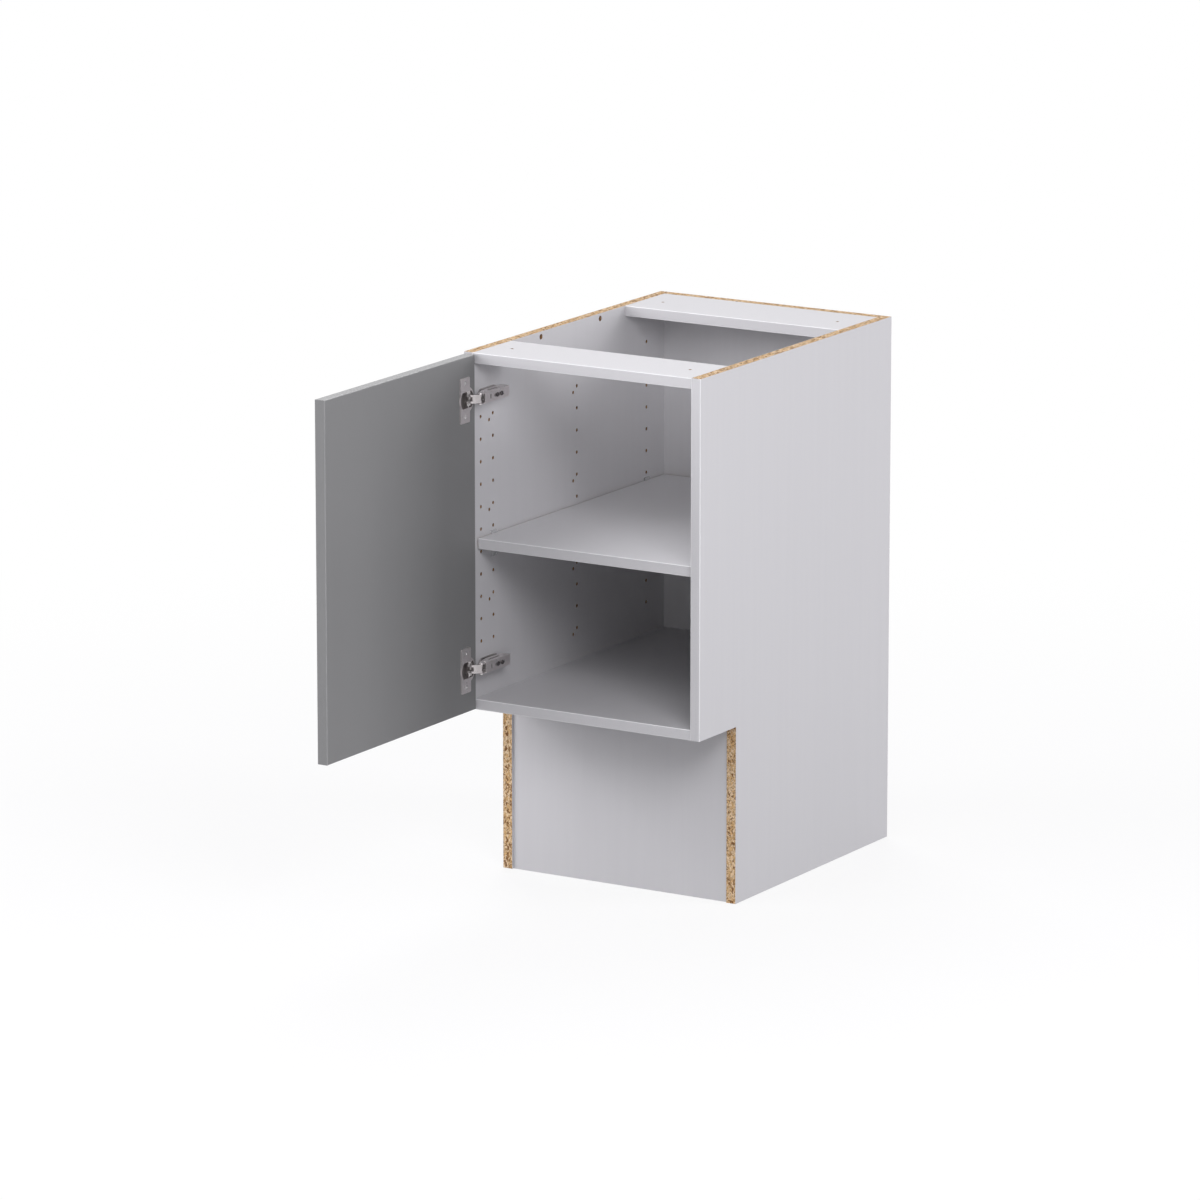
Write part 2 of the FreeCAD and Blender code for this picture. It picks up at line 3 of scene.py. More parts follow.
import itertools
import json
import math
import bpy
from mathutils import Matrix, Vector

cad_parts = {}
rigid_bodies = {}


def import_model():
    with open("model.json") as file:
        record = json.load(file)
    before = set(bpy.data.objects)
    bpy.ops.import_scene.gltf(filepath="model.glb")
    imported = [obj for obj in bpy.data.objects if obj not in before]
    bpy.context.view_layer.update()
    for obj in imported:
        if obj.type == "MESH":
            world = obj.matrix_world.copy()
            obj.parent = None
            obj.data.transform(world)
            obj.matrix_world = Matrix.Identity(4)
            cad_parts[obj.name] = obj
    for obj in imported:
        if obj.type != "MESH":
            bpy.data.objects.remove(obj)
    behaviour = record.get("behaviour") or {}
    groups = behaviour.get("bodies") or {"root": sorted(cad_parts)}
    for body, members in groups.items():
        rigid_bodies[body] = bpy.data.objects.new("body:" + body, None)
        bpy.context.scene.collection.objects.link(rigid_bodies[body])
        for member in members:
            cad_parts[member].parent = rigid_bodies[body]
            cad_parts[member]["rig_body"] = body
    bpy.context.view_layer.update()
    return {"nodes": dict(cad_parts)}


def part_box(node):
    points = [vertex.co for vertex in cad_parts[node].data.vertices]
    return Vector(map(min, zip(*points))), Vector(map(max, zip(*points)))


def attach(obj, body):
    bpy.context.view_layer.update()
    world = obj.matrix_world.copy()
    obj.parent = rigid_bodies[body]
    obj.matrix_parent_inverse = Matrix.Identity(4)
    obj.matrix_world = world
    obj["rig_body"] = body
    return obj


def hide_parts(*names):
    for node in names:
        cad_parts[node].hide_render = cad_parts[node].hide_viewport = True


bl_info = {
    "name": "Kitchen base cabinet",
    "version": (1, 0, 0),
    "blender": (4, 5, 0),
    "location": "3D View > Sidebar > Cabinet",
    "description": "Finishes a kitchen base cabinet and sets up a plain studio round it",
    "category": "Object",
}

import bmesh
import bpy
from bpy.props import FloatProperty, FloatVectorProperty, IntProperty, PointerProperty
from mathutils import Matrix, Vector
from mathutils.bvhtree import BVHTree

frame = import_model()

X_AXIS = Vector((1, 0, 0))
Y_AXIS = Vector((0, 1, 0))
Z_AXIS = Vector((0, 0, 1))
HINGES = ("upper_hinge", "lower_hinge")
UPRIGHT_STREAK = (1.0, 1.0, 0.03)
LEVEL_STREAK = (0.03, 1.0, 1.0)
DEEP_STREAK = (1.0, 0.03, 1.0)
DOOR_BAND_STREAK = (1.0, 0.2, 0.2)
EDGE_SMOOTHING = math.radians(50)
SCREW_SMOOTHING = math.radians(40)
RECESS_REACH = 0.025
OBJECT_FOOT = Vector((0.0, -0.4, 0.0))
OBJECT_MIDDLE = Vector((0.0, -0.4, 0.42))
# Setting, size and place of each soft lamp
LAMPS = (
    ("right", 1.5, (3.0, 0.9, 1.3)),
    ("beyond", 1.6, (-3.0, -2.6, 1.6)),
    ("near", 0.9, (1.5, -1.9, 1.7)),
    ("left", 1.8, (-1.8, -3.8, 2.4)),
    ("high", 1.2, (0.9, -2.4, 2.6)),
    ("low", 0.8, (0.5, -2.2, 0.15)),
    ("behind", 1.8, (-1.5, 1.8, 3.0)),
)


# Settings that a user would change

def length(name, description, default):
    return FloatProperty(
        name=name, description=description, default=default, min=0.0, unit="LENGTH", precision=5
    )


def power(name, description, default):
    return FloatProperty(name=name, description=description, default=default, min=0.0, unit="POWER")


def colour(name, description, default):
    return FloatVectorProperty(
        name=name, description=description, default=default, size=4, min=0.0, max=1.0, subtype="COLOR"
    )


class CabinetBoardSettings(bpy.types.PropertyGroup):
    white_face: colour("White face", "Melamine on the carcass boards", (0.66, 0.655, 0.668, 1.0))
    grey_face: colour("Grey face", "Melamine on the door", (0.225, 0.226, 0.226, 1.0))
    face_thickness: length("Face thickness", "Melamine layer on each side of a board", 0.0002)
    pearl_size: length("Pearl size", "Grain of the melamine's fine embossing", 0.0009)
    flake_size: length("Flake size", "Wood flakes in the middle of the chipboard", 0.0038)
    pale_flake: colour("Pale flake", "Lightest flakes on a cut edge", (1.0, 0.77, 0.50, 1.0))
    tan_flake: colour("Tan flake", "Common flakes on a cut edge", (0.86, 0.565, 0.27, 1.0))
    dark_flake: colour("Dark flake", "Darkest flakes and gaps on a cut edge", (0.24, 0.115, 0.042, 1.0))


class CabinetBandSettings(bpy.types.PropertyGroup):
    white_band: colour("White band", "Plastic band on the carcass fronts", (0.67, 0.665, 0.678, 1.0))
    grey_band: colour("Grey band", "Plastic band round the door", (0.235, 0.236, 0.236, 1.0))
    # The two edge colours are painted highlights on the rounded band edges.
    white_edge_highlight: colour("White edge", "Scraped edges of the white band", (0.93, 0.925, 0.94, 1.0))
    grey_edge_highlight: colour("Grey edge", "Scraped edges of the grey band", (0.33, 0.331, 0.331, 1.0))
    rounding: length("Rounding", "Radius on the long edges of a band", 0.00095)
    segments: IntProperty(name="Segments", description="Steps in a rounded edge", default=5, min=1, max=12)


class CabinetHingeSettings(bpy.types.PropertyGroup):
    nickel: colour("Nickel", "Plating on the hinges", (0.74, 0.698, 0.704, 1.0))
    steel: colour("Steel", "Pins and cup screws", (0.72, 0.70, 0.70, 1.0))
    # Darker steel for the links. On the mounting plates it is also a painted shade round the arm.
    drawn: colour("Drawn", "Links and mounting plates", (0.50, 0.472, 0.474, 1.0))
    burnished: colour("Burnished", "Adjusting screws in the arm", (0.075, 0.068, 0.072, 1.0))
    edge_rounding: length("Edge rounding", "Rounded edges of the pressed steel", 0.00025)
    recess_share: FloatProperty(
        name="Recess share", description="Depth of the cross recess in a screw head",
        default=0.55, min=0.1, max=0.9,
    )


class CabinetClipSettings(bpy.types.PropertyGroup):
    plastic: colour("Plastic", "Clear plastic of the shelf clips", (0.90, 0.905, 0.915, 1.0))
    edge_rounding: length("Edge rounding", "Rounded edges of a clip", 0.0004)


class CabinetStageSettings(bpy.types.PropertyGroup):
    floor_size: length("Floor size", "Edge of the square floor", 80.0)
    sky: FloatProperty(
        name="Sky", description="Strength of the even light all round", default=0.34, min=0.0
    )
    right: power("Right", "Soft light on the right side, from behind the front", 46.0)
    beyond: power("Beyond", "Soft light on the left, beyond the open door", 59.0)
    near: power("Near", "Close soft light front right", 18.8)
    left: power("Left", "Soft light front left", 32.0)
    high: power("High", "Steep soft light over the front", 3.0)
    low: power("Low", "Low soft light before the toe kick", 2.5)
    behind: power("Behind", "Soft light from over the back", 43.0)
    tint: colour("Tint", "Faint tint of all the light", (0.975, 0.967, 1.0, 1.0))
    lens: FloatProperty(
        name="Lens", description="Focal length of the camera", default=225.362, min=1.0, unit="CAMERA"
    )
    camera_place: FloatVectorProperty(
        name="Camera place", description="Where the camera stands", default=(5.27657, -9.16577, 2.75697),
        subtype="TRANSLATION", unit="LENGTH",
    )
    camera_tilt: FloatProperty(
        name="Camera tilt", description="How far the camera looks down", default=math.radians(12.9444),
        subtype="ANGLE", unit="ROTATION",
    )
    camera_turn: FloatProperty(
        name="Camera turn", description="How far the camera is turned to the left",
        default=math.radians(31.2870), subtype="ANGLE", unit="ROTATION",
    )


# Shader nodes

def place(tree, kind, **values):
    node = tree.nodes.new(kind)
    for name, value in values.items():
        setattr(node, name, value)
    return node


def feed(tree, node, socket, source):
    """Links a source socket to a node's input, or sets the input to a plain value."""
    if isinstance(source, bpy.types.NodeSocket):
        tree.links.new(source, node.inputs[socket])
    else:
        node.inputs[socket].default_value = source


def arithmetic(tree, operation, *sources):
    node = place(tree, "ShaderNodeMath", operation=operation)
    for number, source in enumerate(sources):
        feed(tree, node, number, source)
    return node.outputs[0]


def vector_arithmetic(tree, operation, *sources):
    node = place(tree, "ShaderNodeVectorMath", operation=operation)
    for number, source in enumerate(sources):
        feed(tree, node, number, source)
    return node.outputs["Vector"]


def remap(tree, source, from_low, from_high, to_low, to_high):
    node = place(tree, "ShaderNodeMapRange", interpolation_type="SMOOTHSTEP")
    feed(tree, node, "Value", source)
    for socket, value in (
        ("From Min", from_low), ("From Max", from_high), ("To Min", to_low), ("To Max", to_high)
    ):
        feed(tree, node, socket, value)
    return node.outputs["Result"]


def mix_colours(tree, share, first, second, blend_type="MIX"):
    node = place(tree, "ShaderNodeMix", data_type="RGBA", blend_type=blend_type)
    feed(tree, node, 0, share)
    feed(tree, node, 6, first)
    feed(tree, node, 7, second)
    return node.outputs[2]


def mix_values(tree, share, first, second):
    node = place(tree, "ShaderNodeMix", data_type="FLOAT")
    feed(tree, node, 0, share)
    feed(tree, node, 2, first)
    feed(tree, node, 3, second)
    return node.outputs[0]


def noise(tree, position, scale, detail, roughness=0.5):
    node = place(tree, "ShaderNodeTexNoise")
    feed(tree, node, "Vector", position)
    feed(tree, node, "Scale", scale)
    feed(tree, node, "Detail", detail)
    feed(tree, node, "Roughness", roughness)
    return node.outputs["Fac"]


def cells(tree, position, scale, feature="F1"):
    node = place(tree, "ShaderNodeTexVoronoi", feature=feature)
    feed(tree, node, "Vector", position)
    feed(tree, node, "Scale", scale)
    return node.outputs


def new_group(name, inputs, outputs):
    group = bpy.data.node_groups.new(name, "ShaderNodeTree")
    for label, kind in inputs:
        group.interface.new_socket(label, in_out="INPUT", socket_type=kind)
    for label, kind in outputs:
        group.interface.new_socket(label, in_out="OUTPUT", socket_type=kind)
    start = group.nodes.new("NodeGroupInput")
    end = group.nodes.new("NodeGroupOutput")
    return group, start.outputs, end


def use_group(tree, name, **sources):
    node = place(tree, "ShaderNodeGroup", node_tree=bpy.data.node_groups[name])
    for label, source in sources.items():
        feed(tree, node, label.replace("_", " ").capitalize(), source)
    return node.outputs


def build_flake_group():
    """Cut chipboard: flakes of mixed wood, dark gaps and flecks, finer towards the faces."""
    group, given, end = new_group(
        "cut_chipboard",
        (
            ("Position", "NodeSocketVector"), ("Stretch", "NodeSocketVector"),
            ("Fineness", "NodeSocketFloat"), ("Flake size", "NodeSocketFloat"),
            ("Pale flake", "NodeSocketColor"), ("Tan flake", "NodeSocketColor"),
            ("Dark flake", "NodeSocketColor"),
        ),
        (("Color", "NodeSocketColor"), ("Height", "NodeSocketFloat")),
    )
    warp_node = place(group, "ShaderNodeTexNoise")
    feed(group, warp_node, "Vector", given["Position"])
    feed(group, warp_node, "Scale", 210.0)
    feed(group, warp_node, "Detail", 2.0)
    warp = vector_arithmetic(group, "SUBTRACT", warp_node.outputs["Color"], (0.5, 0.5, 0.5))
    warp = vector_arithmetic(group, "MULTIPLY", warp, (0.004, 0.004, 0.004))
    position = vector_arithmetic(group, "ADD", given["Position"], warp)
    position = vector_arithmetic(group, "MULTIPLY", position, given["Stretch"])
    density = arithmetic(group, "DIVIDE", 1.0, given["Flake size"])
    fine_density = arithmetic(group, "MULTIPLY", density, 2.4)
    coarse = place(group, "ShaderNodeSeparateColor")
    feed(group, coarse, "Color", cells(group, position, density)["Color"])
    fine = place(group, "ShaderNodeSeparateColor")
    feed(group, fine, "Color", cells(group, position, fine_density)["Color"])
    broken_share = remap(group, given["Fineness"], 0.55, 0.8, 0.15, 0.6)
    broken = arithmetic(group, "LESS_THAN", coarse.outputs[2], broken_share)
    kind = mix_values(group, broken, coarse.outputs[0], fine.outputs[0])
    tan_share = remap(group, kind, 0.08, 0.3, 0.0, 1.0)
    wood = mix_colours(group, tan_share, given["Dark flake"], given["Tan flake"])
    wood = mix_colours(group, remap(group, kind, 0.45, 0.7, 0.0, 1.0), wood, given["Pale flake"])
    rim = cells(group, position, density, "DISTANCE_TO_EDGE")["Distance"]
    gap = remap(group, rim, 0.0, 0.1, 0.5, 0.0)
    fleck = remap(group, fine.outputs[1], 0.88, 0.93, 0.0, 0.9)
    shade = arithmetic(group, "MAXIMUM", gap, fleck)
    wood = mix_colours(group, shade, wood, given["Dark flake"])
    fibre = remap(group, noise(group, position, 2600.0, 3.0), 0.3, 0.7, 0.0, 0.22)
    wood = mix_colours(group, fibre, wood, given["Dark flake"])
    clump = remap(group, noise(group, position, 150.0, 2.0), 0.48, 0.68, 0.0, 0.2)
    wood = mix_colours(group, clump, wood, given["Dark flake"])
    group.links.new(wood, end.inputs["Color"])
    height = arithmetic(group, "SUBTRACT", arithmetic(group, "MULTIPLY", kind, 0.6), shade)
    group.links.new(height, end.inputs["Height"])


def build_pearl_group():
    """Fine pearl embossing of melamine and plastic band, with faint streaks along the board."""
    group, given, end = new_group(
        "pearl_emboss",
        (
            ("Position", "NodeSocketVector"), ("Grain size", "NodeSocketFloat"),
            ("Streak", "NodeSocketVector"),
        ),
        (("Height", "NodeSocketFloat"), ("Tone", "NodeSocketColor"), ("Gloss", "NodeSocketFloat")),
    )
    density = arithmetic(group, "DIVIDE", 1.0, given["Grain size"])
    pebble = cells(group, given["Position"], density, "SMOOTH_F1")["Distance"]
    grain = noise(group, given["Position"], density, 4.0, 0.6)
    group.links.new(mix_values(group, 0.4, pebble, grain), end.inputs["Height"])
    drawn = vector_arithmetic(group, "MULTIPLY", given["Position"], given["Streak"])
    streak = noise(group, drawn, 90.0, 4.0, 0.6)
    pale = remap(group, streak, 0.3, 0.7, 0.0, 1.0)
    tone = mix_colours(group, pale, (0.985, 0.985, 0.986, 1.0), (1.0, 1.0, 1.0, 1.0))
    group.links.new(tone, end.inputs["Tone"])
    grain_gloss = remap(group, grain, 0.3, 0.7, -0.03, 0.03)
    streak_gloss = remap(group, streak, 0.3, 0.7, -0.02, 0.02)
    group.links.new(arithmetic(group, "ADD", grain_gloss, streak_gloss), end.inputs["Gloss"])


def build_plating_group():
    """Plated pressed steel: cloudy gloss, fine drawing lines, faint tarnish and painted shade in its
    recesses.
    """
    group, given, end = new_group(
        "plated_steel",
        (
            ("Position", "NodeSocketVector"), ("Metal", "NodeSocketColor"),
            ("Base gloss", "NodeSocketFloat"), ("Recess", "NodeSocketFloat"),
        ),
        (("Color", "NodeSocketColor"), ("Roughness", "NodeSocketFloat"), ("Height", "NodeSocketFloat")),
    )
    cloud = noise(group, given["Position"], 140.0, 4.0, 0.6)
    drawn = vector_arithmetic(group, "MULTIPLY", given["Position"], (1.0, 0.12, 1.0))
    line = noise(group, drawn, 2600.0, 2.0)
    tarnish = remap(group, cloud, 0.35, 0.75, 0.0, 0.2)
    metal = mix_colours(group, tarnish, given["Metal"], (0.42, 0.39, 0.37, 1.0))
    # Painted shade: faces that the piece itself closes off are darkened towards near black.
    painted_recess_shade = remap(group, given["Recess"], 0.2, 0.6, 0.0, 0.6)
    metal = mix_colours(group, painted_recess_shade, metal, (0.10, 0.085, 0.075, 1.0))
    group.links.new(metal, end.inputs["Color"])
    rough = arithmetic(group, "ADD", given["Base gloss"], remap(group, cloud, 0.3, 0.7, -0.04, 0.07))
    rough = arithmetic(group, "ADD", rough, remap(group, line, 0.3, 0.7, -0.03, 0.03))
    group.links.new(rough, end.inputs["Roughness"])
    group.links.new(line, end.inputs["Height"])


def new_material(name):
    made = bpy.data.materials.new(name)
    made.use_nodes = True
    tree = made.node_tree
    surface = tree.nodes["Principled BSDF"]
    position = place(tree, "ShaderNodeTexCoord").outputs["Object"]
    return made, tree, surface, position


def round_wall(tree):
    """One on the walls of round drillings, nought on faces that are square to the board."""
    normal = place(tree, "ShaderNodeTexCoord").outputs["Normal"]
    parts = place(tree, "ShaderNodeSeparateXYZ")
    feed(tree, parts, "Vector", vector_arithmetic(tree, "ABSOLUTE", normal))
    largest = arithmetic(tree, "MAXIMUM", parts.outputs[0], parts.outputs[1])
    largest = arithmetic(tree, "MAXIMUM", largest, parts.outputs[2])
    return arithmetic(tree, "LESS_THAN", largest, 0.998)


def emboss(tree, surface, height, depth):
    bump = place(tree, "ShaderNodeBump")
    feed(tree, bump, "Height", height)
    feed(tree, bump, "Distance", depth)
    feed(tree, bump, "Strength", 1.0)
    tree.links.new(bump.outputs["Normal"], surface.inputs["Normal"])


def board_material(name, settings, face, axis, low, high, mirrored=False):
    """Melamine in the face layers of a board, cut chipboard between them, with painted shade in drillings.
    """
    made, tree, surface, position = new_material(name)
    split = place(tree, "ShaderNodeSeparateXYZ")
    feed(tree, split, "Vector", position)
    across = split.outputs[axis]
    if mirrored:
        across = arithmetic(tree, "ABSOLUTE", across)
    depth = arithmetic(tree, "ABSOLUTE", arithmetic(tree, "SUBTRACT", across, (low + high) / 2))
    half = (high - low) / 2
    faced = arithmetic(tree, "GREATER_THAN", depth, half - settings.face_thickness)
    stretch = [1.0, 1.0, 1.0]
    stretch[axis] = 1.6
    streak = DEEP_STREAK if axis == 2 else UPRIGHT_STREAK
    chip = use_group(
        tree, "cut_chipboard", position=position, stretch=stretch,
        fineness=arithmetic(tree, "DIVIDE", depth, half), flake_size=settings.flake_size,
        pale_flake=settings.pale_flake, tan_flake=settings.tan_flake, dark_flake=settings.dark_flake,
    )
    pearl = use_group(
        tree, "pearl_emboss", position=position, grain_size=settings.pearl_size, streak=streak
    )
    melamine = mix_colours(tree, 1.0, pearl["Tone"], face, "MULTIPLY")
    # Painted shade: the walls of round drillings are darkened towards the dark flake colour.
    painted_drill_shade = arithmetic(tree, "MULTIPLY", round_wall(tree), 0.72)
    wood = mix_colours(tree, painted_drill_shade, chip["Color"], settings.dark_flake)
    feed(tree, surface, "Base Color", mix_colours(tree, faced, wood, melamine))
    smooth = arithmetic(tree, "ADD", pearl["Gloss"], 0.48)
    feed(tree, surface, "Roughness", mix_values(tree, faced, 0.85, smooth))
    feed(tree, surface, "Specular IOR Level", 0.38)
    pearl_height = arithmetic(tree, "MULTIPLY", pearl["Height"], 0.08)
    emboss(tree, surface, mix_values(tree, faced, chip["Height"], pearl_height), 0.0003)
    return made


def band_material(name, tint, highlight_tint, grain_size, streak):
    """Embossed plastic band, with a painted highlight in a paler colour on its rounded edges, which are
    also smoother.
    """
    made, tree, surface, position = new_material(name)
    pearl = use_group(tree, "pearl_emboss", position=position, grain_size=grain_size, streak=streak)
    scraped = place(tree, "ShaderNodeAttribute", attribute_name="scraped").outputs["Fac"]
    face = mix_colours(tree, 1.0, pearl["Tone"], tint, "MULTIPLY")
    # Painted highlight: the rounded edges take the paler edge colour.
    feed(tree, surface, "Base Color", mix_colours(tree, scraped, face, highlight_tint))
    embossed = arithmetic(tree, "ADD", pearl["Gloss"], 0.3)
    feed(tree, surface, "Roughness", mix_values(tree, scraped, embossed, 0.18))
    emboss(tree, surface, pearl["Height"], 0.00002)
    return made


def metal_material(name, tint, gloss, metallic):
    made, tree, surface, position = new_material(name)
    # The recess share paints shade into the hollows of the hinge steel.
    recess = place(tree, "ShaderNodeAttribute", attribute_name="recess").outputs["Fac"]
    plated = use_group(tree, "plated_steel", position=position, metal=tint, base_gloss=gloss, recess=recess)
    feed(tree, surface, "Base Color", plated["Color"])
    feed(tree, surface, "Roughness", plated["Roughness"])
    feed(tree, surface, "Metallic", metallic)
    emboss(tree, surface, plated["Height"], 0.000002)
    return made


def clip_material(settings):
    made, tree, surface, position = new_material("clear_clip_plastic")
    cloud = noise(tree, position, 320.0, 3.0)
    feed(tree, surface, "Base Color", settings.plastic)
    feed(tree, surface, "Roughness", remap(tree, cloud, 0.3, 0.7, 0.2, 0.34))
    feed(tree, surface, "IOR", 1.49)
    feed(tree, surface, "Alpha", 0.4)
    emboss(tree, surface, cloud, 0.00003)
    return made


def dowel_material():
    made, tree, surface, position = new_material("beech_dowel_wood")
    drawn = vector_arithmetic(tree, "MULTIPLY", position, (0.06, 1.0, 1.0))
    grain = noise(tree, drawn, 1400.0, 5.0, 0.6)
    pale = remap(tree, grain, 0.3, 0.7, 0.0, 1.0)
    dark_beech = (0.42, 0.25, 0.12, 1.0)
    pale_beech = (0.62, 0.42, 0.23, 1.0)
    feed(tree, surface, "Base Color", mix_colours(tree, pale, dark_beech, pale_beech))
    feed(tree, surface, "Roughness", remap(tree, grain, 0.3, 0.7, 0.65, 0.8))
    emboss(tree, surface, grain, 0.00008)
    return made


# Meshes

def finish_piece(bm, name, node_name, made, smooth_angle):
    """Turns a bmesh into a piece that stands for a CAD node and rides with its body."""
    mesh = bpy.data.meshes.new(name)
    bm.to_mesh(mesh)
    bm.free()
    mesh.materials.append(made)
    piece = bpy.data.objects.new(name, mesh)
    bpy.context.scene.collection.objects.link(piece)
    mesh.shade_smooth()
    mesh.set_sharp_from_angle(angle=smooth_angle)
    even = piece.modifiers.new("even_normals", "WEIGHTED_NORMAL")
    even.keep_sharp = True
    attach(piece, frame["nodes"][node_name]["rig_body"])
    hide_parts(node_name)


def dress(node_name, made):
    mesh = frame["nodes"][node_name].data
    mesh.materials.clear()
    mesh.materials.append(made)


def add_band(bm, low, high, out, run, settings):
    """A strip of edge band whose two long outer edges are rounded."""
    scraped = bm.faces.layers.float.get("scraped") or bm.faces.layers.float.new("scraped")
    middle = (low + high) / 2
    verts = bmesh.ops.create_cube(bm, size=1.0)["verts"]
    bmesh.ops.scale(bm, vec=high - low, verts=verts)
    bmesh.ops.translate(bm, vec=middle, verts=verts)
    rounded = []
    for edge in {edge for vert in verts for edge in vert.link_edges}:
        start, end = (vert.co for vert in edge.verts)
        along = (end - start).normalized()
        if abs(along.dot(run)) > 0.99 and ((start + end) / 2 - middle).dot(out) > 0:
            rounded.append(edge)
    made = bmesh.ops.bevel(
        bm, geom=rounded, offset=settings.rounding, offset_type="OFFSET", affect="EDGES",
        segments=settings.segments, profile=0.5, material=-1, clamp_overlap=True,
    )
    # The rounding's faces are marked for the painted highlight.
    for face in made["faces"]:
        face[scraped] = 1.0


def rounded_copy(node_name, rounding, segments):
    """A merged copy of a CAD node with its sharp edges rounded."""
    bm = bmesh.new()
    bm.from_mesh(frame["nodes"][node_name].data)
    bmesh.ops.remove_doubles(bm, verts=bm.verts, dist=0.000002)
    bmesh.ops.dissolve_limit(bm, angle_limit=math.radians(0.5), verts=bm.verts, edges=bm.edges)
    sharp = [edge for edge in bm.edges if edge.is_manifold and edge.calc_face_angle(0.0) > math.radians(40)]
    bmesh.ops.bevel(
        bm, geom=sharp, offset=rounding, offset_type="OFFSET", affect="EDGES",
        segments=segments, profile=0.5, material=-1, clamp_overlap=True,
    )
    return bm


# The stored share is painted as shade on the hinge steel.
def mark_recesses(bm, reach):
    """Stores on each face how much of the view ahead of it the piece itself closes off."""
    tree = BVHTree.FromBMesh(bm)
    layer = bm.faces.layers.float.new("recess")
    ways = [Vector(way).normalized() for way in itertools.product((-1, 0, 1), repeat=3) if any(way)]
    for face in bm.faces:
        start = face.calc_center_median() + face.normal * 0.00005
        ahead = [way for way in ways if way.dot(face.normal) > -0.01]
        closed = [way for way in ahead if tree.ray_cast(start, way, reach)[0]]
        face[layer] = len(closed) / len(ahead)


def ring_edges(verts):
    inside = set(verts)
    around = {edge for vert in verts for edge in vert.link_edges}
    return [edge for edge in around if inside.issuperset(edge.verts)]


def extrude_ring(bm, edges, scale, drop):
    """Carries an open ring on to a new size and height, and returns its new edges."""
    made = bmesh.ops.extrude_edge_only(bm, edges=edges)["geom"]
    verts = [item for item in made if isinstance(item, bmesh.types.BMVert)]
    bmesh.ops.scale(bm, vec=(scale, scale, 1), verts=verts)
    bmesh.ops.translate(bm, vec=(0, 0, -drop), verts=verts)
    return [item for item in made if isinstance(item, bmesh.types.BMEdge) and set(item.verts) <= set(verts)]


def add_cross_screw(bm, end_point, head_radius, head, shank_radius, full_length, profile, recess_share):
    """A screw with a cross recess, built upright and then laid along X.

    The profile lists the head's rings from the crown down, as shares of its radius and of its height.
    """
    before = set(bm.verts)
    crown = 0.8 * head_radius
    circle = bmesh.ops.create_circle(bm, cap_ends=False, segments=32, radius=crown)["verts"]
    arm = 0.52 * head_radius
    half = 0.14 * head_radius
    quarter = [(arm, -half), (arm, half), (half, half)]
    corners = []
    for turn in range(4):
        spin = Matrix.Rotation(turn * math.pi / 2, 3, "Z")
        corners += [bm.verts.new(spin @ Vector((x, y, 0))) for x, y in quarter]
    cross = [bm.edges.new((a, b)) for a, b in zip(corners, corners[1:] + corners[:1])]
    rim = ring_edges(circle)
    bmesh.ops.bridge_loops(bm, edges=rim + cross)
    taper = 0.72
    floor = extrude_ring(bm, cross, taper, head * recess_share)
    bmesh.ops.edgeloop_fill(bm, edges=floor)
    rings = [(crown, 0.0)] + [(share * head_radius, drop * head) for share, drop in profile]
    rings += [(shank_radius, head), (shank_radius, full_length)]
    for (radius, depth), (next_radius, next_depth) in zip(rings, rings[1:]):
        rim = extrude_ring(bm, rim, next_radius / radius, next_depth - depth)
    bmesh.ops.edgeloop_fill(bm, edges=rim)
    made = [vert for vert in bm.verts if vert not in before]
    turn = Matrix.Translation(end_point) @ Matrix.Rotation(math.pi / 2, 4, "Y")
    bmesh.ops.transform(bm, matrix=turn, verts=made)


def screw_ends(node_name):
    """The outer ends of a pair of like screws, and the radius of their heads."""
    low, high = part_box(node_name)
    middle = (low + high) / 2
    size = high - low
    radius = min(size.y, size.z) / 2
    if size.z > size.y:
        return [Vector((high.x, middle.y, z)) for z in (low.z + radius, high.z - radius)], radius
    return [Vector((high.x, y, middle.z)) for y in (low.y + radius, high.y - radius)], radius


# Operators

class CABINET_OT_boards(bpy.types.Operator):
    """Gives the boards their melamine faces and raw chipboard edges"""

    bl_idname = "cabinet.boards"
    bl_label = "Finish boards"

    def execute(self, context):
        settings = context.scene.cabinet_boards
        build_flake_group()
        build_pearl_group()
        white = settings.white_face
        low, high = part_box("right_side_panel")
        side = board_material("white_side_board", settings, white, 0, low.x, high.x, mirrored=True)
        dress("left_side_panel", side)
        dress("right_side_panel", side)
        for node_name, axis in (
            ("back_panel", 1), ("toe_kick_board", 1), ("bottom_panel", 2), ("shelf", 2),
            ("front_top_rail", 2),
        ):
            low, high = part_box(node_name)
            board = board_material("white_" + node_name, settings, white, axis, low[axis], high[axis])
            dress(node_name, board)
        dress("rear_top_rail", board)
        low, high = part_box("door_panel")
        door = board_material("grey_door_board", settings, settings.grey_face, 0, low.x, high.x)
        dress("door_panel", door)
        return {"FINISHED"}


